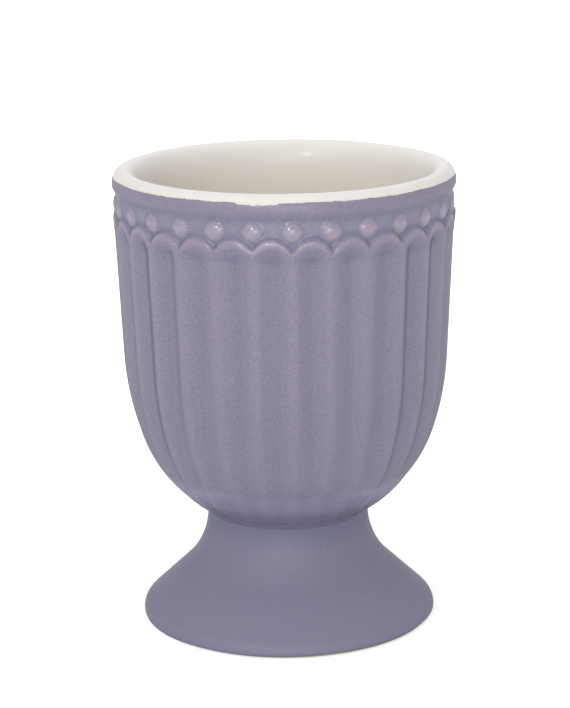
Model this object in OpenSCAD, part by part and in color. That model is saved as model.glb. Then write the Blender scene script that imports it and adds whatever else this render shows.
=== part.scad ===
// Egg cup: a fluted bowl with arched flute tops and a row of beads, luted to a flared hollow foot.
// Millimetres, +Z up, origin at the centre of the foot ring on the table.

/* [Cup] */
// Height from the table to the top of the lip
cup_h = 67.4; // [64:0.1:71]
// Width over the plain band below the lip
rim_w = 49.7; // [47:0.1:53]
// Height of the joint between the foot and the bowl
waist_h = 16.4; // [15:0.1:18]
// Width of the waist at the joint, over the ridges
waist_w = 24.2; // [21:0.1:27]
// Thickness of the bowl's wall at a ridge, glaze included
wall_t = 3; // [2.6:0.1:3.8]
// Thickness of clay and glaze between the joint and the inside of the bowl
floor_t = 3.8; // [2.8:0.1:5]

/* [Bowl outline] */
// Outward lean of the straight wall in degrees
flare = 2.6; // [0:0.1:5]
// Radius of the wall's slow curve below the straight part
curve_r = 43; // [38:0.5:48]
// Turn of the slow curve in degrees, from the round bottom up to the straight wall
curve_turn = 14.9; // [10:0.1:18]
// Step from the ridges out to the plain band
band_out = 0.1; // [0.05:0.05:0.4]

/* [Flutes and arches] */
// Number of flutes round the bowl
flute_count = 28; // [20:1:32]
// Depth of a flute at the wall
flute_depth = 0.8; // [0.4:0.05:1.1]
// Distance from the lip down to the top of an arch
arch_drop = 6.2; // [5.8:0.05:7]
// Rise of an arch from the cusp to its top
arch_rise = 1.9; // [1.2:0.05:2.3]
// Width of the rounded moulding along each arch
moulding_w = 1.3; // [0.8:0.05:1.6]

/* [Beads] */
// Width of the ball that each bead is cut from
bead_w = 3.4; // [2.8:0.05:3.6]
// Height of a bead above its channel
bead_out = 0.7; // [0.5:0.05:0.9]
// Distance from the lip down to the bead centres
bead_drop = 5.1; // [4.9:0.05:5.4]
// Depth of the bead channel below the ridges
channel_depth = 0.45; // [0.3:0.05:0.7]
// Height of the plain band and the lip together
band_h = 3.1; // [2.6:0.05:3.3]

/* [Lip] */
// Height of the white lip above the lavender glaze
lip_h = 0.95; // [0.8:0.05:1.4]
// Distance from the band's widest point in to the crest of the lip
crest_in = 1.65; // [1.4:0.05:2.2]
// Height of the rounded inner side of the lip
lip_inside_h = 1.8; // [1.2:0.1:2.6]

/* [Foot] */
// Width of the foot at its edge
foot_w = 43.6; // [40:0.1:48]
// Size of the concave flare, as a share of the largest one that fits above the edge
flare_share = 0.8; // [0.6:0.05:0.95]
// Height of the short upright neck below the joint
neck_h = 0.4; // [0.2:0.1:1.2]
// Radius of the rounded foot edge
edge_r = 1.8; // [1.2:0.1:2.2]
// Thickness of the foot's wall, glaze included
foot_wall_t = 3; // [2.6:0.1:3.6]
// Height of the foot's hollow at its centre
recess_h = 12; // [11:0.1:12.6]

/* [Glaze and slip] */
// Thickness of the lavender glaze
glaze_t = 0.35; // [0.25:0.05:0.45]
// Thickness of the white glaze, which is dipped a little thicker
white_t = 0.45; // [0.4:0.05:0.6]
// Height of the bare clay above the table
bare_h = 0.7; // [0.5:0.1:1.2]
// Thickness of the slip that joins the bowl to the foot
slip_t = 0.4; // [0.2:0.1:0.8]

/* [Hidden] */
$fn = 96;

// Levels of the relief, measured down from the lip
arch_top_z = cup_h - arch_drop;
bead_z = cup_h - bead_drop;
band_z = cup_h - band_h;
lip_z = cup_h - lip_h;

// Pattern round the cup, and the circle that each arch is struck from
pitch = 360 / flute_count;
rim_r = rim_w / 2;
ridge_r = rim_r - band_out;
half_pitch = PI * ridge_r / flute_count;
arch_r = (half_pitch * half_pitch + arch_rise * arch_rise) / (2 * arch_rise);
arch_z = arch_top_z - arch_r;
crest_share = 0.17;
crest_d = crest_share * moulding_w;
fall_share = 0.22;
fall_h = fall_share * moulding_w;

// Outline at the ridges, from the waist up: a round bottom about the axis, a slow curve and a
// straight wall, each tangent to the next. The round bottom's radius follows from the rest, and
// each step of the search brings it about twenty times nearer.
waist_r = waist_w / 2;
turn = flare + curve_turn;
wall_d = ridge_r * cos(flare) - arch_top_z * sin(flare);
function belly_middle(r) = waist_h + sqrt(pow(r, 2) - pow(waist_r, 2));
function belly_search(r, steps) = steps == 0 ? r : belly_search(
    curve_r + (wall_d - curve_r + belly_middle(r) * sin(flare)) / cos(curve_turn), steps - 1);
belly_steps = 12;
belly_r = belly_search(ridge_r, belly_steps);
belly_z = belly_middle(belly_r);
turn_z = belly_z - belly_r * sin(turn);
curve_x = (belly_r - curve_r) * cos(turn);
curve_z = belly_z - (belly_r - curve_r) * sin(turn);
straight_z = curve_z - curve_r * sin(flare);
straight_r = curve_x + curve_r * cos(flare);
waist_turn = asin((belly_z - waist_h) / belly_r);

function mix(a, b, s) = a + (b - a) * s;

// Radius of the ridges' surface at the height z, moved inwards by t
function wall_r(z, t) =
    z > straight_z ? ridge_r - max(0, arch_top_z - z) * tan(flare) - t / cos(flare) :
    z > turn_z ? curve_x + sqrt(pow(curve_r - t, 2) - pow(curve_z - z, 2)) :
    sqrt(pow(belly_r - t, 2) - pow(belly_z - z, 2));

// In the relief, v runs from 0 at the middle of a flute to 1 at the ridge and bead beside it.
// Height of the arches' upper edge, and of the lines at the depth d inside it
function arch_line(v, d) = arch_z - d + sqrt(max(0, pow(arch_r - d, 2) - pow(v * half_pitch, 2)));

// Share of the full flute depth: a wave from ridge to ridge with a round top
function trough(v, z) =
    let (q = norm([v, max(0, z - arch_z + crest_d) / (arch_r - crest_d)]))
    q < 1 ? (1 + cos(180 * q)) / 2 : 0;

// Depth of a flute, shallower where the flutes crowd together towards the waist
fade_power = 2;
function flute_cut(v, z) = flute_depth * pow(wall_r(z, 0) / ridge_r, fade_power) * trough(v, z);

// Depth of the bead channel above the arches' edge
function channel_cut(v, z) =
    let (s = min(1, max(0, (z - arch_line(v, 0)) / fall_h)))
    channel_depth * s * s * (3 - 2 * s);

// Height of a bead above its channel, on the surface that lies t inside the glaze
bead_r = bead_w / 2;
bead_sink = bead_r - bead_out;
function bead_rise(v, z, t) =
    let (left = pow(bead_r - t, 2) - pow((1 - v) * half_pitch, 2) - pow(z - bead_z, 2))
    left > 0 ? max(0, sqrt(left) - bead_sink + t) : 0;

function relief_r(v, z, t) =
    wall_r(z, t) - flute_cut(v, z) - channel_cut(v, z + t) + bead_rise(v, z, t);

// Radius of the plain band, which is widest at its middle and runs on smoothly into the lip
bulge_share = 0.4;
band_bulge = bulge_share * band_out;
band_middle = (band_z + lip_z) / 2;
crest_r = rim_r - crest_in;
lip_power = 2.2;
function lip_point(t, s) = [
    crest_r + (crest_in - t) * pow(cos(s), 2 / lip_power),
    band_middle + (cup_h - t - band_middle) * pow(sin(s), 2 / lip_power)];
function lip_turn(t, z) = asin(pow((z - band_middle) / (cup_h - t - band_middle), lip_power / 2));
function band_r(z) =
    z > band_middle ? lip_point(0, lip_turn(0, z))[0] :
    rim_r - band_bulge * pow((band_middle - z) / (band_middle - band_z), 2);

// Places of the points along one upright section of the relief, from the joint up to the lip:
// on the round bottom, the slow curve, each arch, the channel and the band
belly_shares = [0, 1/4, 2/4, 3/4, 1];
curve_shares = [1/2, 1];
arch_shares = [1, 1/2, 0];
channel_shares = [0, 0.3, 0.5, 0.7, 0.9];
band_shares = [0, 1/2, 1];
clay_belly_shares = [0, 1/2, 1];
clay_curve_shares = [1];
clay_arch_shares = [1, 0];
clay_channel_shares = [0, 0.35, 0.7, 1];
arch_foot_share = 1.8;
arch_foot_z = arch_z - arch_foot_share * moulding_w;
step_share = 0.05;
step_h = step_share * band_h;
function wall_heights(bottom, slow) = concat(
    [for (s = bottom) belly_z - belly_r * sin(mix(waist_turn, turn, s))],
    [for (s = slow) curve_z - curve_r * sin(mix(turn, flare, s))],
    [arch_foot_z]);
function arch_heights(v, shares) =
    [for (s = shares) arch_line(v, mix(crest_d, moulding_w, s))];
function channel_heights(v, t, shares) =
    [for (s = shares) mix(arch_line(v, 0) + fall_h - t, band_z - step_h + t, s)];

// Section through the outside of the lavender glaze
function glaze_section(v) = concat(
    [for (z = concat(
        wall_heights(belly_shares, curve_shares),
        arch_heights(v, arch_shares),
        [arch_line(v, 0)],
        channel_heights(v, 0, channel_shares)))
        [relief_r(v, z, 0), z]],
    [for (s = band_shares) let (z = mix(band_z, lip_z, s)) [band_r(z), z]]);

// Section through the clay under it, with fewer points, up to the height top
clay_band_z = band_z + glaze_t;
function clay_band_r(z) =
    mix(band_r(clay_band_z), band_r(lip_z), (z - clay_band_z) / (lip_z - clay_band_z)) - glaze_t;
function clay_section(v, top) = concat(
    [for (z = concat(
        wall_heights(clay_belly_shares, clay_curve_shares),
        arch_heights(v, clay_arch_shares),
        channel_heights(v, glaze_t, clay_channel_shares)))
        [relief_r(v, z, glaze_t), z]],
    [for (z = [clay_band_z, top]) [clay_band_r(z), z]]);

// Places of the sections across one flute as shares of the pitch. The clay has every second one.
glaze_steps_share = [0, 0.14, 0.28, 0.39, 0.5, 0.61, 0.72, 0.86];
clay_steps_share = [for (k = [0:2:len(glaze_steps_share) - 1]) glaze_steps_share[k]];
function across(u) = 1 - abs(1 - 2 * u);

// Points of the sections set round the cup, with a ridge at the front
function round_the_cup(sections, steps) =
    [for (i = [0:flute_count - 1], k = [0:len(steps) - 1])
        let (a = (i + steps[k] - 1/2) * pitch)
        for (p = sections[k]) [p[0] * sin(a), -p[0] * cos(a), p[1]]];

// Triangles between c neighbouring sections of n points each
function skin(c, n, first) =
    [for (i = [0:c - 1], j = [0:n - 2])
        let (a = first + i * n + j, b = first + ((i + 1) % c) * n + j)
        each [[a, a + 1, b + 1], [a, b + 1, b]]];
function turned(faces) = [for (f = faces) [for (k = [len(f) - 1:-1:0]) f[k]]];

// Ring of the points numbered j in c sections of n points
function ring(c, n, first, j) = [for (i = [0:c - 1]) first + i * n + j];

// Triangles between a ring and a coarser one that has half as many points
function edge_strip(fine, coarse) =
    [for (i = [0:len(coarse) - 1])
        let (
            k = i * len(fine) / len(coarse),
            a = fine[k],
            b = fine[k + 1],
            c = fine[(k + len(fine) / len(coarse)) % len(fine)],
            p = coarse[i],
            q = coarse[(i + 1) % len(coarse)])
        each [[a, p, b], [b, p, q], [b, q, c]]];

// The clay's fluted outside as one solid, with a plain drum where the lip is cut from it
module clay_relief() {
    sections = [for (u = clay_steps_share) clay_section(across(u), cup_h)];
    n = len(sections[0]);
    c = flute_count * len(sections);
    polyhedron(
        round_the_cup(sections, clay_steps_share),
        concat(skin(c, n, 0), [ring(c, n, 0, 0)], turned([ring(c, n, 0, n - 1)])));
}

// Outline of the lining from the axis over the lip, moved into the clay by t
mouth_r = ridge_r - wall_t / cos(flare);
well_r = straight_r - wall_t / cos(flare);
floor_z = waist_h + floor_t;
well_power = 2.4;
lip_shares = [1/5, 2/5, 3/5, 4/5, 1];
function lining_outline(t) = concat(
    [for (a = [0:7.5:90])
        [(well_r + t) * pow(sin(a), 2 / well_power),
            straight_z - (straight_z - floor_z + t) * pow(cos(a), 2 / well_power)]],
    [for (a = [180:-15:90])
        [crest_r + (crest_r - mouth_r - t) * cos(a),
            cup_h - lip_inside_h + (lip_inside_h - t) * sin(a)]],
    [for (s = lip_shares) lip_point(t, mix(90, lip_turn(t, lip_z), s))]);

// Outline of the foot from the joint down to the table, moved into the clay by t. The largest
// flare would touch both the neck and the rounded edge. A smaller one leaves room for the skirt,
// the straight line that runs off the flare and onto the edge.
joint_r = wall_r(waist_h, 0) - flute_cut(0, waist_h);
edge_share = 0.4;
edge_x = foot_w / 2 - edge_r;
edge_z = edge_share * edge_r;
flare_z = waist_h - neck_h;
flare_reach = edge_x - joint_r;
flare_fall = flare_z - edge_z;
flare_r = flare_share * (pow(flare_reach, 2) + pow(flare_fall, 2) - pow(edge_r, 2))
    / (flare_reach + edge_r) / 2;
flare_x = joint_r + flare_r;
skirt_slope = atan2(flare_fall, flare_x - edge_x)
    - acos((flare_r + edge_r) / norm([flare_x - edge_x, flare_fall]));
function edge_end(t) = -asin(min(1, edge_z / (edge_r - t)));
function foot_outline(t) = concat(
    [[joint_r - t, waist_h]],
    [for (s = [0:1/8:1])
        let (a = s * skirt_slope)
        [flare_x - (flare_r + t) * cos(a), flare_z - (flare_r + t) * sin(a)]],
    [for (s = [0:1/6:1])
        let (a = mix(skirt_slope, edge_end(t), s))
        [edge_x + (edge_r - t) * cos(a), max(0, edge_z + (edge_r - t) * sin(a))]]);

// Outline of the foot's hollow from the axis down to the table, moved into the clay by t:
// a low dome above a shoulder, and below it a wall that follows the flare and the skirt
dome_share = 0.16;
shoulder_z = recess_h - dome_share * recess_h;
hollow_r = flare_r + foot_wall_t;
recess_turn = asin((flare_z - shoulder_z) / hollow_r);
shoulder_r = flare_x - hollow_r * cos(recess_turn);
function recess_outline(t) =
    let (
        r = hollow_r - t,
        skirt_x = flare_x - r * cos(skirt_slope),
        skirt_z = flare_z - r * sin(skirt_slope))
    concat(
        [for (a = [90:-15:15])
            [(shoulder_r + t) * cos(a), shoulder_z + (recess_h - shoulder_z + t) * sin(a)]],
        [for (s = [0:1/4:1])
            let (a = mix(recess_turn, skirt_slope, s))
            [flare_x - r * cos(a), flare_z - r * sin(a)]],
        [[skirt_x + skirt_z * tan(skirt_slope), 0]]);

// Coat between the outline and the same one moved into the clay by t
function coat(outline, moved) = concat(outline, [for (k = [len(moved) - 1:-1:0]) moved[k]]);

lavender = [0.57, 0.54, 0.62];
white = [0.94, 0.92, 0.9];
clay = [0.86, 0.8, 0.7];

module bowl() {
    over = rim_w - rim_r;
    color(clay) difference() {
        clay_relief();
        rotate_extrude() polygon(concat(
            lining_outline(white_t),
            [[over + rim_r, lip_z], [over + rim_r, cup_h + over], [0, cup_h + over]]));
    }
}

module foot() {
    color(clay) rotate_extrude() difference() {
        polygon(concat([[0, 0], [0, waist_h]], foot_outline(glaze_t)));
        translate([0, waist_h - slip_t]) square([rim_w, waist_h]);
        polygon(concat([[0, 0]], recess_outline(glaze_t)));
    }
}

module luting_slip() {
    color(clay) translate([0, 0, waist_h - slip_t]) cylinder(r = joint_r - glaze_t, h = slip_t);
}

module bowl_glaze() {
    outer = [for (u = glaze_steps_share) glaze_section(across(u))];
    inner = [for (u = clay_steps_share) clay_section(across(u), lip_z)];
    outer_n = len(outer[0]);
    inner_n = len(inner[0]);
    outer_c = flute_count * len(outer);
    inner_c = flute_count * len(inner);
    first = outer_c * outer_n;
    color(lavender) polyhedron(
        concat(round_the_cup(outer, glaze_steps_share), round_the_cup(inner, clay_steps_share)),
        concat(
            skin(outer_c, outer_n, 0),
            turned(skin(inner_c, inner_n, first)),
            turned(edge_strip(ring(outer_c, outer_n, 0, 0), ring(inner_c, inner_n, first, 0))),
            edge_strip(ring(outer_c, outer_n, 0, outer_n - 1),
                ring(inner_c, inner_n, first, inner_n - 1))));
}

module foot_glaze() {
    color(lavender) rotate_extrude() intersection() {
        polygon(coat(foot_outline(0), foot_outline(glaze_t)));
        translate([0, bare_h]) square([rim_w, waist_h]);
    }
}

module lining_glaze() {
    color(white) rotate_extrude() polygon(coat(lining_outline(0), lining_outline(white_t)));
}

module recess_glaze() {
    color(lavender) rotate_extrude() intersection() {
        polygon(coat(recess_outline(0), recess_outline(glaze_t)));
        translate([0, bare_h]) square([rim_w, waist_h]);
    }
}

bowl();
foot();
luting_slip();
bowl_glaze();
foot_glaze();
lining_glaze();
recess_glaze();
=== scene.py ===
"""Egg cup: the glazes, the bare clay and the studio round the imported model.

Every shape is worked out in metres from the sizes in the cup's property group.
"""

import math

import bmesh
import bpy
import numpy as np
from mathutils import Matrix, Vector


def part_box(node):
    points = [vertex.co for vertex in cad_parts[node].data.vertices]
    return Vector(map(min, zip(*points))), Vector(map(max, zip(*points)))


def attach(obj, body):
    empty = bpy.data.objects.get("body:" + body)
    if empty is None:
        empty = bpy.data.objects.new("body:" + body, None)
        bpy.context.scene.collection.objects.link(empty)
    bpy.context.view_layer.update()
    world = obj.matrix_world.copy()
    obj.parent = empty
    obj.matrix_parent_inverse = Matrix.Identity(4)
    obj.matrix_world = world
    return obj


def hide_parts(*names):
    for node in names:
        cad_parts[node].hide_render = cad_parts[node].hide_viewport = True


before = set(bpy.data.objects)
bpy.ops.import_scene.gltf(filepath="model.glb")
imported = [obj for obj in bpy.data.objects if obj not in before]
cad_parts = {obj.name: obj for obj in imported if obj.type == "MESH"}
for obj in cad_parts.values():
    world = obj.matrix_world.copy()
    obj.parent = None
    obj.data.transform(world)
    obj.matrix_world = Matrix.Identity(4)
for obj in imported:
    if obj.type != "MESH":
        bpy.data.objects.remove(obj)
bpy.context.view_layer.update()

bl_info = {
    "name": "Egg Cup",
    "version": (1, 0, 0),
    "blender": (4, 5, 0),
    "location": "3D View > Sidebar > Egg Cup",
    "description": "Builds a glazed stoneware egg cup with flutes, arches and beads",
    "category": "Add Mesh",
}

MM = 0.001
BODY = "root"
LOW_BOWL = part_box("bowl_glaze")[0]
LOW_FOOT, HIGH_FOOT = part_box("foot_glaze")
HIGH_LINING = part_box("lining_glaze")[1]


def length(name, description, millimetres):
    """A length that a user may change, given in millimetres and kept in metres."""
    return bpy.props.FloatProperty(
        name=name, description=description, default=millimetres * MM,
        unit="LENGTH", precision=5, min=0.0)


def from_solids(name, description, metres):
    """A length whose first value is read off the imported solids."""
    return bpy.props.FloatProperty(
        name=name, description=description, default=metres, unit="LENGTH", precision=5)


def share(name, description, value):
    """A share or a plain number that a user may change."""
    return bpy.props.FloatProperty(name=name, description=description, default=value)


def angle(name, description, degrees):
    """An angle that a user may change."""
    return bpy.props.FloatProperty(
        name=name, description=description, default=math.radians(degrees),
        unit="ROTATION", subtype="ANGLE")


def power(name, description, watts):
    """The power of a lamp."""
    return bpy.props.FloatProperty(
        name=name, description=description, default=watts, unit="POWER")


def colour(name, description, red, green, blue):
    """A colour as a screen shows it, from 0 to 255, kept linear as a shader takes it."""
    linear = [c / 12.92 if c <= 0.04045 else ((c + 0.055) / 1.055) ** 2.4
              for c in (red / 255, green / 255, blue / 255)]
    return bpy.props.FloatVectorProperty(
        name=name, description=description, default=linear,
        subtype="COLOR", size=3, min=0.0, max=1.0)


class EggCupSizes(bpy.types.PropertyGroup):
    """Sizes of the glazed cup."""

    cup_height: from_solids(
        "Cup height", "From the table to the top of the lip", HIGH_LINING.z)
    waist_height: from_solids(
        "Waist height", "Height of the joint between foot and bowl", LOW_BOWL.z)
    foot_radius: from_solids("Foot radius", "Radius of the foot at its edge", HIGH_FOOT.x)
    bare_height: from_solids(
        "Bare clay height", "Height of the unglazed ring above the table", LOW_FOOT.z)
    rim_radius: length("Rim radius", "Radius over the plain band below the lip", 24.85)
    waist_radius: length("Waist radius", "Radius of the waist over the ridges", 12.1)
    wall: length("Wall", "Thickness of the bowl's wall at a ridge", 3.0)
    floor: length("Floor", "Thickness from the joint to the inside of the bowl", 3.8)
    flare: angle("Wall lean", "Outward lean of the straight wall", 2.6)
    curve_radius: length("Slow curve", "Radius of the wall's slow curve", 43.0)
    curve_turn: angle("Slow curve turn", "Turn of the slow curve", 14.9)
    band_step: length("Band step", "Step from the ridges out to the plain band", 0.1)
    band_roll: length("Band roll", "Fall of the band from its middle to its lower edge", 0.2)
    flutes: bpy.props.IntProperty(
        name="Flutes", description="Number of flutes round the bowl", default=28, min=8)
    flute_depth: length("Flute depth", "Depth of a flute at the wall", 0.8)
    arch_drop: length("Arch drop", "From the lip down to the top of an arch", 6.2)
    arch_rise: length("Arch rise", "From the cusp up to the top of an arch", 1.9)
    moulding: length("Arch moulding", "Width of the rounded moulding on an arch", 1.3)
    arch_swell: length("Arch swell", "Extra height at the middle of the arch moulding", 0.08)
    bead_width: length("Bead width", "Width of a glazed bead", 3.0)
    bead_height: length("Bead height", "Height of a glazed bead above its channel", 0.5)
    bead_drop: length("Bead drop", "From the lip down to the bead centres", 5.1)
    channel_depth: length("Channel depth", "Depth of the bead channel", 0.5)
    band_height: length("Band height", "Height of the plain band and the lip", 3.1)
    lip_height: length("White lip height", "Height of the white above the lavender", 0.95)
    crest_in: length("Lip crest", "From the band in to the crest of the lip", 1.65)
    lip_inside: length("Inner lip", "Height of the rounded inner side of the lip", 5.0)
    lip_square: share("Inner lip squareness", "2 is an ellipse, more is flatter on top", 2.6)
    lip_roll: length("Lip roll", "Thickness that the glaze adds inside the lip", 0.7)
    flare_share: share("Foot flare", "Share of the largest flare that fits", 0.8)
    fillet: length("Waist fillet", "Height of the glaze gathered above the joint", 0.8)
    neck: length("Neck", "Height of the upright neck below the joint", 0.4)
    edge_radius: length("Foot edge", "Radius of the rounded foot edge", 1.8)
    foot_wall: length("Foot wall", "Thickness of the foot's wall", 3.0)
    hollow_height: length("Foot hollow", "Height of the hollow at its centre", 12.0)
    glaze: length("Glaze", "Thickness of the lavender glaze", 0.35)
    lining: length("Lining", "Thickness of the white glaze", 0.45)


class EggCupFinish(bpy.types.PropertyGroup):
    """Colours of the glazes and the clay, as they look in plain light."""

    glaze_even: colour("Lavender", "Lavender glaze at its usual thickness", 128, 124, 148)
    glaze_thin: colour("Thin lavender", "Glaze on ridges, arches and beads", 143, 133, 152)
    glaze_thick: colour("Thick lavender", "Glaze pooled in flutes and corners", 115, 115, 141)
    glaze_dark: colour("Dark grain", "Fine dark grain in the glaze", 98, 93, 121)
    # On the arches and beads this pale colour is partly pale glaze and partly a painted highlight of
    # their sheen.
    glaze_roll: colour("Glaze roll", "Thick pale roll of glaze on the arches", 158, 147, 166)
    glaze_pink: colour("Pink grain", "Fine pink grain in the glaze", 151, 134, 154)
    white_thin: colour("Thin white", "White glaze where it thins out over the lavender", 209, 200, 209)
    white_even: colour("White", "White glaze of the lip and the lining", 244, 240, 235)
    white_deep: colour("Deep white", "White glaze where it lies thick", 236, 232, 222)
    white_blush: colour("Blush", "Patches in the lining where the clay tints the glaze", 240, 231, 223)
    clay_pale: colour("Clay", "Fired clay of the bare ring", 214, 202, 176)
    clay_dark: colour("Clay grain", "Darker grain of the fired clay", 170, 152, 122)


class EggCupStudio(bpy.types.PropertyGroup):
    """The view and the lamps."""

    view_distance: length("Distance", "From the cup's axis to the camera", 328.923)
    view_height: length("Height", "Height of the camera above the table", 124.016)
    view_side: angle("Side", "Turn of the camera about the cup, towards the left", 2.4)
    view_offset: length("Offset", "Distance that the camera stands left of the cup's axis", 0.16)
    view_pitch: bpy.props.FloatProperty(
        name="Pitch", description="Downward look of the camera",
        default=0.25225, unit="ROTATION", subtype="ANGLE")
    view_roll: bpy.props.FloatProperty(
        name="Roll", description="Roll of the camera", default=-0.01264,
        unit="ROTATION", subtype="ANGLE")
    lens: share("Lens", "Focal length for a 36 mm high picture", 117.3)
    key_power: power("Key lamp", "Power of the large lamp on the left", 0.27)
    glint_power: power(
        "Glint lamp", "Power of the small lamp left of the camera that makes the glints", 0.62)
    spark_power: power(
        "Spark lamp", "Power of the tiny lamp seen as a spark in the lining", 0.05)
    front_power: power("Front lamp", "Power of the low lamp in front", 0.62)
    table_glow: share("Table glow", "Light that the white table gives back by itself", 0.08)
    sky: share("Sky", "Strength of the soft light straight above", 1.22)


# Outline of the cup

SOLVE_ROUNDS = 12           # rounds that settle the radius of the belly
CREST_SHARE = 0.3           # of the moulding's width, from an arch's edge in to its crest
FALL_SHARE = 0.35           # of the moulding's width, over which it falls into the channel
EDGE_SHARE = 0.4            # of the foot edge's radius, how high its middle lies
OUTER_LIP_POWER = 2.2       # squareness of the outer lip; 2 is an ellipse
WELL_POWER = 2.4            # squareness of the bowl's inside
DOME_SHARE = 0.16           # of the hollow's height, taken by its dome
STEP_BELOW = 0.75 * MM      # how far below the band's lower edge the relief starts to run out
STEP_ABOVE = 0.65 * MM      # how far above that edge it has run out
BEAD_EDGE = (0.7, 1.1)      # shares of a bead's radius between which its cover ends
WAVE_HEIGHT = 0.06 * MM
WAVES = ((9, 0.6, 1.0), (23, 2.1, 1.0), (41, 4.0, 0.7))     # number round the cup, start, share
ROLL_START, ROLL_END = math.radians(-19.5), math.radians(-4.0)
ROLL_RISE, ROLL_DROP = 0.07, 0.05                           # radians that its ends take
ROLL_WIDTH = 0.42 * MM
ROLL_DEPTH = 0.7                                            # in widths below the arches' edge
ROLL_SHIFTS = (-0.8, -0.4, 0.0, 0.4, 0.8)                   # mm over which its cusps are rounded
SOFT_STEPS = (-1.5, -0.75, 0.0, 0.75, 1.5)                  # samples, in reaches


def mix(a, b, s):
    """a where s is 0, b where s is 1."""
    return a + (b - a) * s


def ring_points(turn, radius, z):
    """Points at the angles turn, counted from the front, one row for each."""
    return np.stack([radius * np.sin(turn), -radius * np.cos(turn), z], axis=-1).reshape(-1, 3)


def smooth(low, high, x):
    """0 below low, 1 above high, and a soft step between."""
    s = np.clip((x - low) / (high - low), 0.0, 1.0)
    return s * s * (3 - 2 * s)


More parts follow.
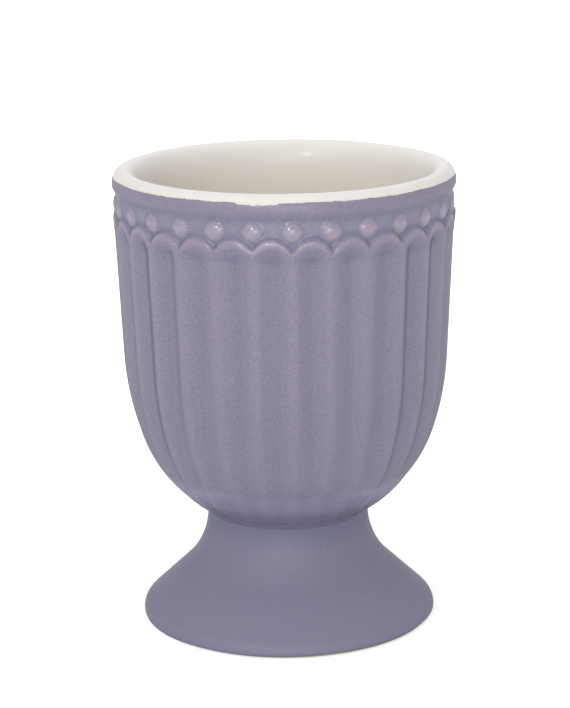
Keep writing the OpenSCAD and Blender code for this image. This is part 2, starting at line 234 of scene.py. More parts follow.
class Outline:
    """Levels and radii that follow from the sizes."""

    def __init__(self, s):
        self.s = s
        self.arch_top = s.cup_height - s.arch_drop
        self.bead_z = s.cup_height - s.bead_drop
        self.band_z = s.cup_height - s.band_height
        self.lip_z = s.cup_height - s.lip_height
        self.band_mid = (self.band_z + self.lip_z) / 2
        self.ridge_r = s.rim_radius - s.band_step
        self.pitch = 2 * math.pi / s.flutes
        self.half_pitch = math.pi * self.ridge_r / s.flutes
        self.arch_r = (self.half_pitch ** 2 + s.arch_rise ** 2) / (2 * s.arch_rise)
        self.arch_z = self.arch_top - self.arch_r
        self.bead_r = s.bead_height / 2 + s.bead_width ** 2 / (8 * s.bead_height)
        self.crest_d = CREST_SHARE * s.moulding
        self.fall = FALL_SHARE * s.moulding
        self.crest_r = s.rim_radius - s.crest_in
        self.mouth_r = self.ridge_r - s.wall / math.cos(s.flare) - s.lip_roll
        self.find_bowl()
        self.find_foot()

    def find_bowl(self):
        """Round bottom, slow curve and straight wall, each tangent to the next."""
        s = self.s
        reach = self.ridge_r * math.cos(s.flare) - self.arch_top * math.sin(s.flare)
        r = self.ridge_r
        for _ in range(SOLVE_ROUNDS):
            middle = s.waist_height + math.sqrt(r * r - s.waist_radius ** 2)
            across = reach - s.curve_radius + middle * math.sin(s.flare)
            r = s.curve_radius + across / math.cos(s.curve_turn)
        self.turn = s.flare + s.curve_turn
        self.belly_r = r
        self.belly_z = s.waist_height + math.sqrt(r * r - s.waist_radius ** 2)
        self.turn_z = self.belly_z - r * math.sin(self.turn)
        self.curve_x = (r - s.curve_radius) * math.cos(self.turn)
        self.curve_z = self.belly_z - (r - s.curve_radius) * math.sin(self.turn)
        self.straight_z = self.curve_z - s.curve_radius * math.sin(s.flare)
        self.straight_r = self.curve_x + s.curve_radius * math.cos(s.flare)
        self.well_r = self.straight_r - s.wall / math.cos(s.flare)
        self.floor_z = s.waist_height + s.floor

    def find_foot(self):
        """A concave flare below the neck, a straight skirt and a rounded edge."""
        s = self.s
        self.joint_r = s.waist_radius - s.flute_depth * (s.waist_radius / self.ridge_r) ** 2
        self.edge_x = s.foot_radius - s.edge_radius
        self.edge_z = EDGE_SHARE * s.edge_radius
        self.flare_z = s.waist_height - s.neck
        reach = self.edge_x - self.joint_r
        drop = self.flare_z - self.edge_z
        self.flare_r = s.flare_share * (reach ** 2 + drop ** 2 - s.edge_radius ** 2) / (
            reach + s.edge_radius) / 2
        self.flare_x = self.joint_r + self.flare_r
        across = self.flare_x - self.edge_x
        self.skirt = math.atan2(drop, across) - math.acos(
            (self.flare_r + s.edge_radius) / math.hypot(across, drop))

    def wall(self, z):
        """Radius of the ridges at the heights z."""
        s = self.s
        z = np.asarray(z, float)
        straight = self.ridge_r - np.maximum(0, self.arch_top - z) * math.tan(s.flare)
        slow = self.curve_x + np.sqrt(
            np.maximum(0, s.curve_radius ** 2 - (self.curve_z - z) ** 2))
        belly = np.sqrt(np.maximum(0, self.belly_r ** 2 - (self.belly_z - z) ** 2))
        return np.where(z > self.straight_z, straight, np.where(z > self.turn_z, slow, belly))

    def band(self, z):
        """Radius of the plain band, and above its middle of the rounded outer lip."""
        s = self.s
        z = np.asarray(z, float)
        below = (self.band_mid - z) / (self.band_mid - self.band_z)
        above = np.clip((z - self.band_mid) / (s.cup_height - self.band_mid), 0, 1)
        low = s.rim_radius - s.band_roll * below ** 2
        high = self.crest_r + s.crest_in * (1 - above ** OUTER_LIP_POWER) ** (1 / OUTER_LIP_POWER)
        return np.where(z < self.band_mid, low, high)

    def arch(self, v, d):
        """Height of the arches' upper edge, or of the line at the depth d inside it."""
        left = (self.arch_r - d) ** 2 - (v * self.half_pitch) ** 2
        return self.arch_z - d + np.sqrt(np.maximum(0, left))

    def across_arch(self, turn):
        """0 under the top of an arch, where a flute is deepest, and 1 on the ridges beside it."""
        u = np.mod(turn / self.pitch + 0.5, 1.0)
        return 1 - np.abs(1 - 2 * u)

    def relief(self, turn, z):
        """Height of the relief over the ridges' wall at the angles turn and heights z."""
        s = self.s
        v = self.across_arch(turn)
        waves = sum(part * np.sin(number * turn + start) for number, start, part in WAVES)
        low_z = z
        z = z + WAVE_HEIGHT * waves * (1 - smooth(self.arch_top, self.band_z, z))
        up = np.maximum(0, z - self.arch_z + self.crest_d) / (self.arch_r - self.crest_d)
        q = np.minimum(1, np.hypot(v, up))
        trough = (1 + np.cos(np.pi * q)) / 2
        shallow = (self.wall(low_z) / self.ridge_r) ** 2
        flute = s.flute_depth * shallow * trough
        channel = s.channel_depth * smooth(0.0, self.fall, z - self.arch(v, 0.0))
        sink = self.bead_r - s.bead_height
        left = self.bead_r ** 2 - ((1 - v) * self.half_pitch) ** 2 - (z - self.bead_z) ** 2
        bead = np.where(left > 0, np.maximum(0, np.sqrt(np.maximum(0, left)) - sink), 0)
        below = np.clip((self.arch(v, 0.0) - z) / s.moulding, 0, 1)
        swell = s.arch_swell * np.sin(np.pi * below)
        height = bead + swell - flute - channel
        step = smooth(self.band_z - STEP_BELOW, self.band_z + STEP_ABOVE, low_z)
        return mix(height, self.band(low_z) - self.wall(low_z), step)

    def bead_cover(self, turn, z):
        """1 on the beads, 0 beside them."""
        u = np.mod(turn / self.pitch, 1.0)
        across = np.minimum(u, 1 - u) * 2 * self.half_pitch
        low, high = (part * self.s.bead_width / 2 for part in BEAD_EDGE)
        return 1 - smooth(low, high, np.hypot(across, z - self.bead_z))

    def glaze_roll(self, turn, z):
        """1 along the thick roll of glaze that lies on two arches at the front, 0 beside it."""
        line = 0.0
        for shift in ROLL_SHIFTS:
            v = self.across_arch(turn + shift * MM / self.ridge_r)
            line = line + self.arch(v, 0.0) / len(ROLL_SHIFTS)
        rise = smooth(ROLL_START, ROLL_START + ROLL_RISE, turn)
        along = rise * (1 - smooth(ROLL_END - ROLL_DROP, ROLL_END, turn))
        depth = (line - z) / ROLL_WIDTH
        return along * np.exp(-(depth - ROLL_DEPTH) ** 2)

    def soft_relief(self, turn, z, reach):
        """The relief as a coat of glaze softens it, averaged over the distance reach."""
        total = 0.0
        weight = 0.0
        for i in SOFT_STEPS:
            for j in SOFT_STEPS:
                w = math.exp(-(i * i + j * j) / 2)
                total = total + w * self.relief(turn + i * reach / self.ridge_r, z + j * reach)
                weight += w
        return total / weight


# Meshes

def new_object(name, verts, faces, lift=None):
    """A smooth mesh object in the scene, with the glaze's lift kept on its points."""
    mesh = bpy.data.meshes.new(name)
    mesh.from_pydata([tuple(v) for v in verts], [], faces)
    mesh.validate()
    mesh.polygons.foreach_set("use_smooth", [True] * len(mesh.polygons))
    if lift is not None:
        kept = mesh.attributes.new("glaze_lift", "FLOAT", "POINT")
        kept.data.foreach_set("value", np.asarray(lift, np.float32))
    mesh.update()
    made = bpy.data.objects.new(name, mesh)
    bpy.context.scene.collection.objects.link(made)
    return made


def lathe(name, outline, count, lift=None):
    """Turns a closed outline of (radius, height) points about the axis.

    The outline may be a function that gives the points for an angle.
    """
    verts = []
    lifts = []
    for k in range(count):
        a = 2 * math.pi * k / count
        points = outline(a) if callable(outline) else outline
        for i, (r, z) in enumerate(points):
            verts.append((r * math.sin(a), -r * math.cos(a), z))
            lifts.append(0.0 if lift is None else lift[i])
    n = len(points)
    faces = []
    for k in range(count):
        here = k * n
        there = ((k + 1) % count) * n
        for i in range(n):
            j = (i + 1) % n
            faces.append((here + i, there + i, there + j, here + j))
    return new_object(name, verts, faces, lifts)


def weld(piece, distance=1e-7):
    """Joins the points that lie on the axis into one and drops the faces they leave empty."""
    work = bmesh.new()
    work.from_mesh(piece.data)
    bmesh.ops.remove_doubles(work, verts=work.verts, dist=distance)
    bmesh.ops.dissolve_degenerate(work, edges=work.edges, dist=distance)
    bmesh.ops.recalc_face_normals(work, faces=work.faces)
    work.to_mesh(piece.data)
    work.free()
    piece.data.update()


def finish_piece(piece, material, node):
    """Gives a piece its material and its body, and hides the solid that it stands for."""
    piece.data.materials.clear()
    piece.data.materials.append(material)
    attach(piece, BODY)
    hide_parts(node)


# Materials

class Nodes:
    """A small helper that adds shader nodes and joins them."""

    def __init__(self, owner):
        """Clears the node tree of a material or a world."""
        owner.use_nodes = True
        self.tree = owner.node_tree
        self.tree.nodes.clear()

    def add(self, kind, inputs=None, **settings):
        """A new shader node with its settings made and its inputs fed."""
        node = self.tree.nodes.new("ShaderNode" + kind)
        for name, value in settings.items():
            setattr(node, name, value)
        for name, value in (inputs or {}).items():
            self.feed(node.inputs[name], value)
        return node

    def feed(self, socket, value):
        """Joins a node or an output to a socket, or sets the socket's own value."""
        if isinstance(value, bpy.types.NodeSocket):
            self.tree.links.new(value, socket)
        elif isinstance(value, bpy.types.Node):
            self.tree.links.new(value.outputs[0], socket)
        else:
            socket.default_value = value

    def maths(self, operation, a, b=0.0, c=0.0):
        """The result of one operation on up to three values."""
        node = self.add("Math", operation=operation)
        self.feed(node.inputs[0], a)
        self.feed(node.inputs[1], b)
        self.feed(node.inputs[2], c)
        return node.outputs[0]

    def blend(self, factor, a, b):
        """Colour a where the factor is 0, colour b where it is 1."""
        node = self.add("Mix", data_type="RGBA", blend_type="MIX")
        for socket, value in ((0, factor), (6, a), (7, b)):     # the sockets of the colour mix
            self.feed(node.inputs[socket], value)
        return node.outputs[2]

    def scale(self, shade, level):
        """A colour times a number."""
        return self.add("VectorMath", {0: shade, "Scale": level}, operation="SCALE").outputs[0]

    def steps(self, value, low, high):
        """0 at low, 1 at high, and a soft step between."""
        node = self.add("MapRange", interpolation_type="SMOOTHSTEP", clamp=True)
        self.feed(node.inputs["Value"], value)
        self.feed(node.inputs["From Min"], low)
        self.feed(node.inputs["From Max"], high)
        return node.outputs["Result"]

    def between(self, value, rise, drop):
        """0 below the range rise, 1 from its end up to the range drop, and 0 above that."""
        falling = self.maths("SUBTRACT", 1.0, self.steps(value, *drop))
        return self.maths("MULTIPLY", self.steps(value, *rise), falling)

    def noise(self, place, size, detail=2.0, roughness=0.5):
        """Noise whose grains are about size across, in metres."""
        node = self.add("TexNoise", {
            "Vector": place, "Scale": 1 / size, "Detail": detail, "Roughness": roughness})
        return node.outputs["Fac"]


def rgba(value):
    """A colour of the finish with the alpha that a socket wants."""
    return (value[0], value[1], value[2], 1.0)


def plain_rays(n):
    """1 for what the camera sees, also through a mirror or glass, and 0 for other light."""
    path = n.add("LightPath")
    seen = n.maths("MAXIMUM", path.outputs["Is Camera Ray"], path.outputs["Is Glossy Ray"])
    return n.maths("MAXIMUM", seen, path.outputs["Is Transmission Ray"])


GLOSS_FADE = (0.25, 0.85)       # turn away from the eye over which the gloss fades
POOL = (0.02, 0.75)             # lift over which the glaze turns thin, or sink to thick
# The pale roll colour on raised relief is partly pale glaze and partly a painted highlight.
ROLL_AND_SHEEN_LIFTS = (0.5, 1.6)         # lift over which it turns to the pale roll
CLOUD_SIZE, CLOUD_LIFT = 2.6 * MM, 0.35
GRAIN_SIZE, GRAIN_RANGE = 0.24 * MM, (0.56, 0.72)
PINK_SIZE, PINK_RANGE = 0.4 * MM, (0.54, 0.7)
GRAIN_TINT = 0.2                # how strongly the dark and the pink grain tint
BOWL_GRAIN, FOOT_GRAIN = 1.2, 0.45      # swing of the grain's brightness
WARM_SIZE, WARM_SHIFT = 9 * MM, 3 * MM
WARM_START, WARM_END = 1.0 * MM, 7.0 * MM       # below the lip, where the white turns warm
PATCH_SIZE, PATCH_RANGE = 7 * MM, (0.42, 0.6)
SWELL_SIZE, PIT_SIZE, PIT_SHARE = 1.1 * MM, 0.3 * MM, 0.35
ROUGH_SWING = 0.12


def side_gloss(n, level, fade):
    """Gloss that fades where the surface turns away, as between the dark cards of a studio."""
    facing = n.add("LayerWeight", {"Blend": 0.5}).outputs["Facing"]
    kept = n.maths("MULTIPLY_ADD", n.steps(facing, *GLOSS_FADE), -fade, 1.0)
    return n.maths("MULTIPLY", kept, level)


def lavender_colour(n, place, finish, grain_swing):
    """Lavender glaze: pale and pink where it runs thin, blue where it pools, with fine grain."""
    lift = n.add("Attribute", attribute_name="glaze_lift").outputs["Fac"]
    cloud = n.maths("SUBTRACT", n.noise(place, CLOUD_SIZE, detail=3.0, roughness=0.55), 0.5)
    shift = n.maths("MULTIPLY_ADD", cloud, CLOUD_LIFT, lift)
    thin = n.steps(shift, *POOL)
    thick = n.steps(n.maths("MULTIPLY", shift, -1.0), *POOL)
    base = n.blend(thin, rgba(finish.glaze_even), rgba(finish.glaze_thin))
    base = n.blend(thick, base, rgba(finish.glaze_thick))
    # Pale roll colour on raised relief: partly pale glaze, partly painted highlight.
    base = n.blend(n.steps(lift, *ROLL_AND_SHEEN_LIFTS), base, rgba(finish.glaze_roll))
    grain = n.noise(place, GRAIN_SIZE, detail=3.0, roughness=0.7)
    dark = n.maths("MULTIPLY", n.steps(grain, *GRAIN_RANGE), GRAIN_TINT)
    base = n.blend(dark, base, rgba(finish.glaze_dark))
    pink = n.steps(n.noise(place, PINK_SIZE, roughness=0.6), *PINK_RANGE)
    base = n.blend(n.maths("MULTIPLY", pink, GRAIN_TINT), base, rgba(finish.glaze_pink))
    return n.scale(base, n.maths("MULTIPLY_ADD", grain, grain_swing, 1.0 - 0.5 * grain_swing))


def white_colour(n, place, finish, z, top):
    """White glaze, brightest on the lip, and warmer in patches further down."""
    cloud = n.maths("MULTIPLY_ADD", n.noise(place, WARM_SIZE), WARM_SHIFT, z)
    deep = n.steps(cloud, top - WARM_START, top - WARM_END)
    patch = n.steps(n.noise(place, PATCH_SIZE), *PATCH_RANGE)
    low = n.blend(patch, rgba(finish.white_deep), rgba(finish.white_blush))
    return n.blend(deep, rgba(finish.white_even), low)


def glaze_skin(n, place, roughness):
    """Normal and roughness of the fired glaze, with its soft swells and small pits."""
    swell = n.noise(place, SWELL_SIZE)
    rise = n.maths("MULTIPLY_ADD", n.noise(place, PIT_SIZE), PIT_SHARE, swell)
    bump = n.add("Bump", {"Strength": 0.22, "Distance": 0.06 * MM, "Height": rise})
    return bump.outputs["Normal"], n.maths("MULTIPLY_ADD", swell, ROUGH_SWING, roughness)


# The line where the white ends, heights from it, and the bowl's shades, with painted shade on the
# outer lip and painted light above the waist
LINE_WAVE_SIZE, LINE_WAVE = 3.2 * MM, 0.36 * MM
TOOTH_SIZE, TOOTH_RANGE, TOOTH = 0.55 * MM, (0.45, 0.6), 0.05 * MM
RUN_RISE = (math.radians(-18.4), math.radians(-16.6))   # angles where the run of white starts
RUN_DROP = (math.radians(-4.8), math.radians(-4.0))     # and ends
RUN_LENGTH = 0.24 * MM
WHITE_EDGE = (-0.04 * MM, 0.04 * MM)
WHITE_FULL = (-0.27 * MM, -0.06 * MM)       # where the white stops showing the lavender
THIN_EDGE, THIN_SHARE = (-1.0 * MM, -0.1 * MM), 0.75
# Painted shade: the lip's outer side, from its crest out, is painted darker than its top.
LIP_SHADE_START, LIP_SHADE_END = -0.2 * MM, 0.9 * MM    # from the crest of the lip out
PAINTED_LIP_SHADE = -0.07
INSIDE_REACH = 0.5 * MM                     # from the crest in, all white
# Painted light: a band above the waist is painted paler, standing in for light thrown up from the
# table onto the downward-facing belly.
BELLY_RISE, BELLY_DROP = (2.2 * MM, 4.0 * MM), (5.6 * MM, 7.4 * MM)     # above the waist
BELLY_PAINTED_LIGHT = 0.28
FLUTE_FADE, FLUTE_SHADE = 3.0 * MM, -0.07
BAND_BELOW, BAND_ABOVE = 0.3 * MM, 0.6 * MM
PLAIN_COAT, RAISED_COAT, BAND_COAT = 0.5, 0.4, -0.3     # clear coat, and what is added to it
RAISED_RANGE = (0.6, 1.0)
BOWL_FADE, FOOT_FADE = 0.9, 0.6
LINING_COAT = LINING_FADE = 0.2


def dip_line(n, x, y, z, level):
    """Height above the wavy line where the white ends, without and with its run at the front."""
    ring = n.add("CombineXYZ", {0: x, 1: y, 2: 0.0}).outputs[0]
    wave = n.maths("SUBTRACT", n.noise(ring, LINE_WAVE_SIZE, roughness=0.6), 0.5)
    teeth = n.steps(n.noise(ring, TOOTH_SIZE, roughness=0.6), *TOOTH_RANGE)
    line = n.maths("MULTIPLY_ADD", wave, LINE_WAVE, level)
    line = n.maths("MULTIPLY_ADD", n.maths("SUBTRACT", teeth, 0.5), TOOTH, line)
    above = n.maths("SUBTRACT", z, line)
    turn = n.maths("ARCTAN2", x, n.maths("MULTIPLY", y, -1.0))
    run = n.between(turn, RUN_RISE, RUN_DROP)
    return above, n.maths("MULTIPLY_ADD", run, RUN_LENGTH, above)


def bowl_lavender(n, place, z, run_above, outline, finish):
    """Lavender of the bowl: thin by the white, duller on the flutes, and painted paler above the waist
    as painted light from the table.
    """
    base = lavender_colour(n, place, finish, BOWL_GRAIN)
    edge = n.maths("MULTIPLY", n.steps(run_above, *THIN_EDGE), THIN_SHARE)
    base = n.blend(edge, base, rgba(finish.glaze_thin))
    # Painted light: the belly above the waist is painted paler where the table's light would reach it.
    belly = n.between(
        n.maths("SUBTRACT", z, outline.s.waist_height), BELLY_RISE, BELLY_DROP)
    fluted = n.steps(z, outline.arch_top, outline.arch_top - FLUTE_FADE)
    level = n.maths("MULTIPLY_ADD", fluted, FLUTE_SHADE, 1.0)
    return n.scale(base, n.maths("MULTIPLY_ADD", belly, BELLY_PAINTED_LIGHT, level))


def dipped_glaze(name, sizes, finish, lined):
    """Both glazes, and the slightly wavy line below the lip where the white ends."""
    outline = Outline(sizes)
    material = bpy.data.materials.new(name)
    n = Nodes(material)
    place = n.add("TexCoord").outputs["Object"]
    x, y, z = n.add("SeparateXYZ", {"Vector": place}).outputs
    above, run_above = dip_line(n, x, y, z, outline.lip_z)
    radius = n.maths(
        "SQRT", n.maths("ADD", n.maths("MULTIPLY", x, x), n.maths("MULTIPLY", y, y)))
    white = n.steps(run_above, *WHITE_EDGE)
    full = n.steps(above, *WHITE_FULL)
    if lined:
        inside = n.steps(radius, outline.crest_r, outline.crest_r - INSIDE_REACH)
        white = n.maths("MAXIMUM", white, inside)
        full = n.maths("MAXIMUM", full, inside)
        coat, fade = LINING_COAT, LINING_FADE
    else:
        lift = n.add("Attribute", attribute_name="glaze_lift").outputs["Fac"]
        raised = n.maths("MULTIPLY_ADD", n.steps(lift, *RAISED_RANGE), RAISED_COAT, PLAIN_COAT)
        band = n.steps(z, outline.band_z - BAND_BELOW, outline.band_z + BAND_ABOVE)
        coat, fade = n.maths("MULTIPLY_ADD", band, BAND_COAT, raised), BOWL_FADE
    lavender = bowl_lavender(n, place, z, run_above, outline, finish)
    # Painted shade on the outer side of the lip.
    outer = n.steps(radius, outline.crest_r + LIP_SHADE_START, outline.crest_r + LIP_SHADE_END)
    pale = n.scale(
        white_colour(n, place, finish, z, sizes.cup_height),
        n.maths("MULTIPLY_ADD", outer, PAINTED_LIP_SHADE, 1.0))
    pale = n.blend(full, rgba(finish.white_thin), pale)
    normal, rough = glaze_skin(n, place, roughness=0.38)
    shader = n.add("BsdfPrincipled", {
        "Base Color": n.blend(white, lavender, pale), "Roughness": rough, "Normal": normal,
        "IOR": 1.5, "Specular IOR Level": side_gloss(n, level=0.5, fade=fade),
        "Coat Weight": side_gloss(n, level=coat, fade=fade), "Coat Roughness": 0.1,
        "Coat IOR": 1.5})
    n.add("OutputMaterial", {"Surface": shader})
    return material


def lavender_glaze(name, finish):
    """Lavender glaze of the foot and its hollow, dark where it pools below the waist, with painted
    shade under the bowl.
    """
    material = bpy.data.materials.new(name)
    n = Nodes(material)
    place = n.add("TexCoord").outputs["Object"]
    normal, rough = glaze_skin(n, place, roughness=0.48)
    shader = n.add("BsdfPrincipled", {
        "Base Color": lavender_colour(n, place, finish, FOOT_GRAIN), "Roughness": rough,
        "Normal": normal, "IOR": 1.5,
        "Specular IOR Level": side_gloss(n, level=0.5, fade=FOOT_FADE)})
    n.add("OutputMaterial", {"Surface": shader})
    return material


SAND_SIZE, SAND_RANGE = 0.25 * MM, (0.45, 0.75)
STAIN_SIZE, STAIN_SHARE = 3.0 * MM, 0.3


def fired_clay(name, finish):
    """Bare fired clay with a sandy grain."""
    material = bpy.data.materials.new(name)
    n = Nodes(material)
    place = n.add("TexCoord").outputs["Object"]
    sand = n.noise(place, SAND_SIZE, detail=3.0, roughness=0.65)
    stain = n.maths("MULTIPLY", n.noise(place, STAIN_SIZE), STAIN_SHARE)
    base = n.blend(n.steps(sand, *SAND_RANGE), rgba(finish.clay_pale), rgba(finish.clay_dark))
    base = n.blend(stain, base, rgba(finish.clay_dark))
    bump = n.add("Bump", {"Strength": 0.5, "Distance": 0.08 * MM, "Height": sand})
    rough = n.maths("MULTIPLY_ADD", sand, 0.15, 0.75)
    shader = n.add("BsdfPrincipled", {
        "Base Color": base, "Roughness": rough, "Normal": bump.outputs["Normal"], "IOR": 1.45})
    n.add("OutputMaterial", {"Surface": shader})
    return material


# Operators

LATHE_COLUMNS, HOLLOW_COLUMNS = 256, 192
COLUMNS_PER_FLUTE = 24
WALL_ROWS, RELIEF_ROWS = 50, 78     # rows of the plain flutes, and of the arches and beads
RELIEF_START = 1.2 * MM             # how far below the arches' centres the closer rows start
HIDDEN_STEP = 10                    # shown rows for each row of the hidden side
HIDDEN_REACH = 2.5 * MM             # the hidden side clears what is shown so far up and down
HIDDEN_GAP = 0.1 * MM
FINE_REACH, WIDE_REACH = 0.19 * MM, 0.85 * MM       # softening, and the surroundings' mean
FULL_LIFT, LIFT_RANGE = 0.26 * MM, (-0.8, 1)
# These lifts turn the beads and the roll to the pale roll colour, partly pale glaze and partly painted
# highlight.
BEAD_PALE_AND_SHEEN_LIFT, BAND_LIFT, ROLL_LIFT = 1.05, 0.3, 1.2
BAND_LIFT_BELOW, BAND_START, BAND_END = 0.2 * MM, 0.6 * MM, 1.0 * MM
ROLL_HEIGHT = 0.13 * MM
WELL_POINTS, INNER_LIP_POINTS, OUTER_LIP_POINTS = 40, 22, 18
FILLET_POINTS, FLARE_POINTS, EDGE_POINTS = 12, 34, 16
FILLET_LAP, FILLET_OUT = 0.05 * MM, 0.2 * MM        # into the bowl's coat, and out of the joint
# The neck's darker, thicker glaze is partly real pooling and partly painted shade under the bowl's
# overhang.
FILLET_POOL_AND_SHADE_LIFT = (-0.1, -0.6)                          # the glaze pools towards the neck
NECK_POOL_AND_SHADE_LIFT, NECK_TURN, NECK_FADE = -0.85, 0.4, 1.4   # and thins out again down the flare
EDGE_LIFT = [0.1] * 13 + [-0.4, -0.8, -0.8]         # it hangs thick at its lower edge
BARE_MEAN, BARE_SWAY, BARE_RIPPLE = 0.5, 0.3, 0.05  # of the solids' bare height
DOME_POINTS, HOLLOW_POINTS = 20, 14


def square_turn(a, power):
    """Shares across and up at the angle a of a quarter turn; the power 2 gives an ellipse."""
    return max(0.0, math.cos(a)) ** (2 / power), math.sin(a) ** (2 / power)


class EGGCUP_OT_bowl_outside(bpy.types.Operator):
    """Build the lavender coat over the bowl's flutes, arches and beads"""

    bl_idname = "eggcup.bowl_outside"
    bl_label = "Glaze the Bowl"

    def coat(self, outline, turn, z):
        """Radius of the glazed surface, and how far its relief lifts the glaze."""
        fine = outline.soft_relief(turn, z, FINE_REACH)
        wide = outline.soft_relief(turn, z, WIDE_REACH)
        lift = np.clip((fine - wide) / FULL_LIFT, *LIFT_RANGE)
        # Beads painted pale: partly thin glaze, partly painted highlight.
        lift = mix(lift, BEAD_PALE_AND_SHEEN_LIFT, outline.bead_cover(turn, z))
        low, start, end = outline.band_z + np.array([-BAND_LIFT_BELOW, BAND_START, BAND_END])
        lift = mix(lift, BAND_LIFT, smooth(low, start, z))
        roll = outline.glaze_roll(np.mod(turn + math.pi, 2 * math.pi) - math.pi, z)
        relief = outline.wall(z) + (fine + ROLL_HEIGHT * roll)
        return mix(relief, outline.band(z), smooth(start, end, z)), lift + ROLL_LIFT * roll

    def hidden_side(self, radius, levels):
        """Heights and radii of the plain side behind the shown one."""
        kept = levels[::HIDDEN_STEP]
        if kept[-1] != levels[-1]:
            kept = np.append(kept, levels[-1])
        least = radius.min(axis=0)
        return kept, np.array([
            least[np.abs(levels - z) < HIDDEN_REACH].min() - HIDDEN_GAP for z in kept])

    def faces(self, columns, n, m):
        """Faces of the shown side with n rows, the hidden one with m, and the edges."""
        faces = []
        for k in range(columns):
            beside = (k + 1) % columns
            here, there = k * n, beside * n
            inside, next_inside = columns * n + k * m, columns * n + beside * m
            for i in range(n - 1):
                faces.append((here + i, there + i, there + i + 1, here + i + 1))
            for i in range(m - 1):
                faces.append((inside + i, inside + i + 1, next_inside + i + 1, next_inside + i))
            faces.append((here, inside, next_inside, there))
            faces.append((
                here + n - 1, there + n - 1, next_inside + m - 1, inside + m - 1))
        return faces

    def execute(self, context):
        sizes = context.scene.egg_cup_sizes
        outline = Outline(sizes)
        columns = COLUMNS_PER_FLUTE * sizes.flutes
        turns = 2 * math.pi * np.arange(columns) / columns
        start = outline.arch_z - RELIEF_START
        levels = np.concatenate([
            np.linspace(sizes.waist_height, start, WALL_ROWS),
            np.linspace(start, outline.lip_z, RELIEF_ROWS)[1:]])
        turn, z = np.meshgrid(turns, levels, indexing="ij")
        radius, lift = self.coat(outline, turn, z)
        hidden_z, hidden_r = self.hidden_side(radius, levels)
        hidden_turn, hidden_level = np.meshgrid(turns, hidden_z, indexing="ij")
        verts = np.concatenate([
            ring_points(turn, radius, z), ring_points(hidden_turn, hidden_r, hidden_level)])
        lifts = np.concatenate([lift.reshape(-1), np.zeros(columns * len(hidden_z))])
        faces = self.faces(columns, len(levels), len(hidden_z))
        piece = new_object("glazed_bowl_outside", verts, faces, lifts)
        material = dipped_glaze(
            "lavender_and_white_glaze", sizes, context.scene.egg_cup_finish, False)
        finish_piece(piece, material, "bowl_glaze")
        return {"FINISHED"}


class EGGCUP_OT_lining(bpy.types.Operator):
    """Build the white coat inside the bowl and over the lip"""

    bl_idname = "eggcup.lining"
    bl_label = "Glaze the Lining"

    def profile(self, outline, t):
        """Outline from the axis over the lip, moved into the clay by t."""
        s = outline.s
        points = []
        for a in np.linspace(0, math.pi / 2, WELL_POINTS):
            down, out = square_turn(a, WELL_POWER)
            points.append((
                (outline.well_r + t) * out,
                outline.straight_z - (outline.straight_z - outline.floor_z + t) * down))
        across = outline.crest_r - outline.mouth_r - t
        for a in np.linspace(0, math.pi / 2, INNER_LIP_POINTS):
            side, up = square_turn(a, s.lip_square)
            points.append((
                outline.crest_r - across * side,
                s.cup_height - s.lip_inside + (s.lip_inside - t) * up))
        top = (outline.lip_z - outline.band_mid) / (s.cup_height - outline.band_mid)
        start = math.asin(min(1.0, top ** (OUTER_LIP_POWER / 2)))
        for a in np.linspace(math.pi / 2, start, OUTER_LIP_POINTS)[1:]:
            side, up = square_turn(a, OUTER_LIP_POWER)
            points.append((
                outline.crest_r + (s.crest_in - t) * side,
                outline.band_mid + (s.cup_height - t - outline.band_mid) * up))
        points[-1] = (float(outline.band(outline.lip_z)) - t, outline.lip_z)
        return points

    def execute(self, context):
        sizes = context.scene.egg_cup_sizes
        outline = Outline(sizes)
        shown = self.profile(outline, 0.0)
        hidden = self.profile(outline, sizes.lining)
        piece = lathe("white_lining_and_lip", shown + hidden[::-1], LATHE_COLUMNS)
        weld(piece)
        material = dipped_glaze(
            "white_glaze_over_lip", sizes, context.scene.egg_cup_finish, True)
        finish_piece(piece, material, "lining_glaze")
        return {"FINISHED"}


class EGGCUP_OT_foot_outside(bpy.types.Operator):
    """Build the lavender coat over the flared foot"""

    bl_idname = "eggcup.foot_outside"
    bl_label = "Glaze the Foot"

    def execute(self, context):
        sizes = context.scene.egg_cup_sizes
        outline = Outline(sizes)
        top_z = sizes.waist_height + sizes.fillet
        top = (float(outline.wall(top_z)) - FILLET_LAP, top_z)
        corner = (outline.joint_r + FILLET_OUT, sizes.waist_height)
        neck = (outline.joint_r, outline.flare_z)
        flare = []
        for a in np.linspace(0, 1, FILLET_POINTS):
            flare.append(tuple(
                (1 - a) ** 2 * p + 2 * a * (1 - a) * q + a * a * r
                for p, q, r in zip(top, corner, neck)))
        # Pooled glaze and painted shade at the neck, fading down the flare.
        lift = list(np.linspace(*FILLET_POOL_AND_SHADE_LIFT, FILLET_POINTS))
        for a in np.linspace(0, outline.skirt, FLARE_POINTS)[1:]:
            flare.append((
                outline.flare_x - outline.flare_r * math.cos(a),
                outline.flare_z - outline.flare_r * math.sin(a)))
            lift.append(NECK_POOL_AND_SHADE_LIFT * (1 - min(1.0, a / NECK_TURN)) ** NECK_FADE)
        lift += EDGE_LIFT

        def points(turn):
            """The coat's outline at an angle, down to its uneven lower edge."""
            bare = sizes.bare_height * (
                BARE_MEAN + BARE_SWAY * math.sin(turn - 0.2) + BARE_RIPPLE * math.sin(7 * turn))
            low = -math.asin((outline.edge_z - bare) / sizes.edge_radius)
            edge = [(
                outline.edge_x + sizes.edge_radius * math.cos(a),
                outline.edge_z + sizes.edge_radius * math.sin(a))
                for a in np.linspace(outline.skirt, low, EDGE_POINTS)]
            shown = flare + edge
            hidden = [(r - sizes.glaze, z) for r, z in shown]
            return shown + hidden[::-1]

        piece = lathe("glazed_foot_outside", points, LATHE_COLUMNS, lift + [0.0] * len(lift))
        weld(piece)
        material = lavender_glaze("lavender_glaze_on_foot", context.scene.egg_cup_finish)
        finish_piece(piece, material, "foot_glaze")
        return {"FINISHED"}


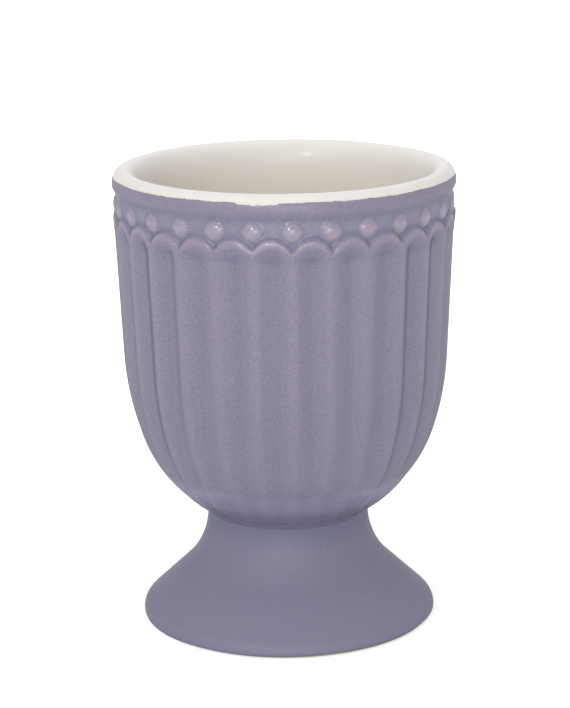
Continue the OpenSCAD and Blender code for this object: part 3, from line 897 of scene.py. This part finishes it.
class EGGCUP_OT_foot_hollow(bpy.types.Operator):
    """Build the lavender coat inside the hollow of the foot"""

    bl_idname = "eggcup.foot_hollow"
    bl_label = "Glaze the Foot's Hollow"

    def profile(self, outline, t):
        """Outline of the hollow from the axis down to the bare ring, moved into the clay by t."""
        s = outline.s
        shoulder_z = s.hollow_height * (1 - DOME_SHARE)
        hollow_r = outline.flare_r + s.foot_wall
        turn = math.asin((outline.flare_z - shoulder_z) / hollow_r)
        shoulder_r = outline.flare_x - hollow_r * math.cos(turn)
        r = hollow_r - t
        points = []
        for a in np.linspace(math.pi / 2, 0, DOME_POINTS)[:-1]:
            points.append((
                (shoulder_r + t) * math.cos(a),
                shoulder_z + (s.hollow_height - shoulder_z + t) * math.sin(a)))
        for a in np.linspace(turn, outline.skirt, HOLLOW_POINTS):
            points.append((
                outline.flare_x - r * math.cos(a), outline.flare_z - r * math.sin(a)))
        x, z = points[-1]
        points.append((x + (z - s.bare_height) * math.tan(outline.skirt), s.bare_height))
        return points

    def execute(self, context):
        sizes = context.scene.egg_cup_sizes
        outline = Outline(sizes)
        shown = self.profile(outline, 0.0)
        hidden = self.profile(outline, sizes.glaze)
        piece = lathe("glazed_foot_hollow", shown + hidden[::-1], HOLLOW_COLUMNS)
        weld(piece)
        material = lavender_glaze("lavender_glaze_in_hollow", context.scene.egg_cup_finish)
        finish_piece(piece, material, "recess_glaze")
        return {"FINISHED"}


class EGGCUP_OT_bare_clay(bpy.types.Operator):
    """Give the fired clay of the bowl, the foot and the slip its finish"""

    bl_idname = "eggcup.bare_clay"
    bl_label = "Fire the Clay"

    def execute(self, context):
        material = fired_clay("bare_fired_clay", context.scene.egg_cup_finish)
        for name in ("bowl", "foot", "luting_slip"):
            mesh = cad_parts[name].data
            mesh.materials.clear()
            mesh.materials.append(material)
        return {"FINISHED"}


FLOOR_HALF = 1.5
PAPER = (0.8, 0.8, 0.8, 1.0)
WHITE = (1.0, 1.0, 1.0, 1.0)
FLOOR_FADE, NEAR_GLOW = (0.06, 0.3), 0.5    # distances over which the seen floor turns white
SENSOR = 36.0
CLIP = (0.01, 20.0)
AIM = (0.0, 0.0, 0.035)
LAMPS = (       # name, its power among the studio's values, width and height, place
    ("key_lamp", "key_power", (0.35, 0.35), (-0.43, -0.4, 0.36)),
    ("glint_lamp", "glint_power", (0.1, 0.11), (-0.23, -0.6, 0.26)),
    ("spark_lamp", "spark_power", (0.02, 0.045), (-0.06, -0.63, 0.29)),
    ("front_lamp", "front_power", (0.3, 0.16), (0.02, -0.62, 0.09)),
)


class EGGCUP_OT_stage(bpy.types.Operator):
    """Lay the white floor, hang the lamps and set the camera"""

    bl_idname = "eggcup.stage"
    bl_label = "Set the Stage"

    def floor(self, studio):
        """White paper that shows the cup's shadow close by and is plain white further off."""
        size = FLOOR_HALF
        verts = [(-size, -size, 0), (size, -size, 0), (size, size, 0), (-size, size, 0)]
        floor = new_object("white_floor", verts, [(0, 1, 2, 3)])
        material = bpy.data.materials.new("white_floor_paper")
        n = Nodes(material)
        paper = n.add("BsdfDiffuse", {"Color": PAPER})
        away = n.add("VectorMath", {0: n.add("TexCoord").outputs["Object"]}, operation="LENGTH")
        far = n.steps(away.outputs["Value"], *FLOOR_FADE)
        level = n.maths("MULTIPLY_ADD", far, 1.0 - NEAR_GLOW, NEAR_GLOW)
        level = n.maths("MAXIMUM", n.maths("MULTIPLY", plain_rays(n), level), studio.table_glow)
        glow = n.add("Emission", {"Color": WHITE, "Strength": level})
        n.add("OutputMaterial", {"Surface": n.add("AddShader", {0: paper, 1: glow})})
        floor.data.materials.append(material)

    def sky(self, strength):
        """A white room: the light that falls on the cup grows towards the ceiling."""
        world = bpy.data.worlds.new("white_room")
        bpy.context.scene.world = world
        n = Nodes(world)
        height = n.add("SeparateXYZ", {0: n.add("TexCoord").outputs["Generated"]}).outputs[2]
        ceiling = n.maths("MULTIPLY", n.maths("MAXIMUM", height, 0.0), strength)
        level = n.add("MapRange", {"Value": plain_rays(n), "To Min": ceiling, "To Max": 1.0})
        light = n.add("Background", {"Color": WHITE, "Strength": level.outputs["Result"]})
        n.add("OutputWorld", {"Surface": light})

    def lamp(self, name, power, size, place):
        """A soft lamp with a rectangular face, turned to the middle of the cup."""
        light = bpy.data.lights.new(name, "AREA")
        light.energy = power
        light.shape = "RECTANGLE"
        light.size, light.size_y = size
        lamp = bpy.data.objects.new(name, light)
        bpy.context.scene.collection.objects.link(lamp)
        lamp.location = place
        look = Vector(AIM) - Vector(place)
        lamp.rotation_euler = look.to_track_quat("-Z", "Y").to_euler()

    def camera(self, studio):
        """The camera at the photograph's height, side and distance."""
        lens = bpy.data.cameras.new("studio_camera")
        lens.sensor_width = SENSOR
        lens.sensor_fit = "AUTO"
        lens.lens = studio.lens
        lens.clip_start, lens.clip_end = CLIP
        lens.dof.use_dof = False
        camera = bpy.data.objects.new("studio_camera", lens)
        bpy.context.scene.collection.objects.link(camera)
        side = studio.view_side
        pitch = studio.view_pitch
        right = Vector((math.cos(side), -math.sin(side), 0))
        ahead = Vector((
            math.sin(side) * math.cos(pitch), math.cos(side) * math.cos(pitch),
            -math.sin(pitch)))
        up = right.cross(ahead)
        turn = Matrix((right, up, -ahead)).transposed().to_4x4()
        place = Vector((
            -studio.view_distance * math.sin(side), -studio.view_distance * math.cos(side),
            studio.view_height))
        place = place - studio.view_offset * right
        roll = Matrix.Rotation(studio.view_roll, 4, "Z")
        camera.matrix_world = Matrix.Translation(place) @ turn @ roll
        bpy.context.scene.camera = camera

    def execute(self, context):
        studio = context.scene.egg_cup_studio
        self.floor(studio)
        self.sky(studio.sky)
        for name, power_name, size, place in LAMPS:
            self.lamp(name, getattr(studio, power_name), size, place)
        self.camera(studio)
        context.scene.view_settings.view_transform = "Standard"
        return {"FINISHED"}


class EGGCUP_PT_panel(bpy.types.Panel):
    """Buttons that build the cup piece by piece, and the values that it is built from"""

    bl_idname = "EGGCUP_PT_panel"
    bl_label = "Egg Cup"
    bl_space_type = "VIEW_3D"
    bl_region_type = "UI"
    bl_category = "Egg Cup"

    def draw(self, context):
        for operator in BUILD_ORDER:
            self.layout.operator(operator.bl_idname)
        for group in ("egg_cup_sizes", "egg_cup_finish", "egg_cup_studio"):
            box = self.layout.box()
            values = getattr(context.scene, group)
            for name in values.__annotations__:
                box.prop(values, name)


BUILD_ORDER = (
    EGGCUP_OT_stage,
    EGGCUP_OT_bare_clay,
    EGGCUP_OT_lining,
    EGGCUP_OT_bowl_outside,
    EGGCUP_OT_foot_outside,
    EGGCUP_OT_foot_hollow,
)
GROUPS = {
    "egg_cup_sizes": EggCupSizes,
    "egg_cup_finish": EggCupFinish,
    "egg_cup_studio": EggCupStudio,
}


def register():
    """Adds the cup's values, operators and panel to Blender."""
    for name, group in GROUPS.items():
        bpy.utils.register_class(group)
        setattr(bpy.types.Scene, name, bpy.props.PointerProperty(type=group))
    for operator in BUILD_ORDER:
        bpy.utils.register_class(operator)
    bpy.utils.register_class(EGGCUP_PT_panel)


def unregister():
    """Takes them out again."""
    bpy.utils.unregister_class(EGGCUP_PT_panel)
    for operator in reversed(BUILD_ORDER):
        bpy.utils.unregister_class(operator)
    for name, group in GROUPS.items():
        delattr(bpy.types.Scene, name)
        bpy.utils.unregister_class(group)


def main():
    """Builds the cup and its stage."""
    register()
    for operator in BUILD_ORDER:
        family, name = operator.bl_idname.split(".")
        getattr(getattr(bpy.ops, family), name)()


if __name__ == "__main__":
    main()
